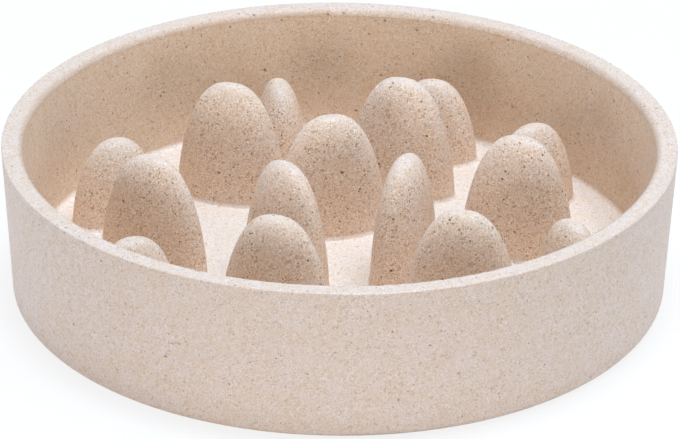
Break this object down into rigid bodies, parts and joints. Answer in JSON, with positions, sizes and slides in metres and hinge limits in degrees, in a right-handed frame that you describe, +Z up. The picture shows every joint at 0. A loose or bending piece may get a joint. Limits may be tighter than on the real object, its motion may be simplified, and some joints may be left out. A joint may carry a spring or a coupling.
{
  "type": "slow feeder bowl",
  "caption": "Round straight-sided pet bowl with upright petal-shaped fingers across its floor that slow a pet's eating, on rubber feet.",
  "frame": {"origin": "on the ground under the middle of the bowl", "axes": "+Z up; -Y towards the side that the picture shows in front, +X to its right"},
  "size_m": [0.185, 0.185, 0.0438],
  "materials": {
    "composite": "matte, speckled plant fibre composite",
    "rubber": "matte"
  },
  "bodies": {
    "root": {"bowl": "composite", "foot_1": "rubber", "foot_2": "rubber", "foot_3": "rubber", "foot_4": "rubber", "foot_5": "rubber", "foot_6": "rubber"}
  },
  "joints": []
}
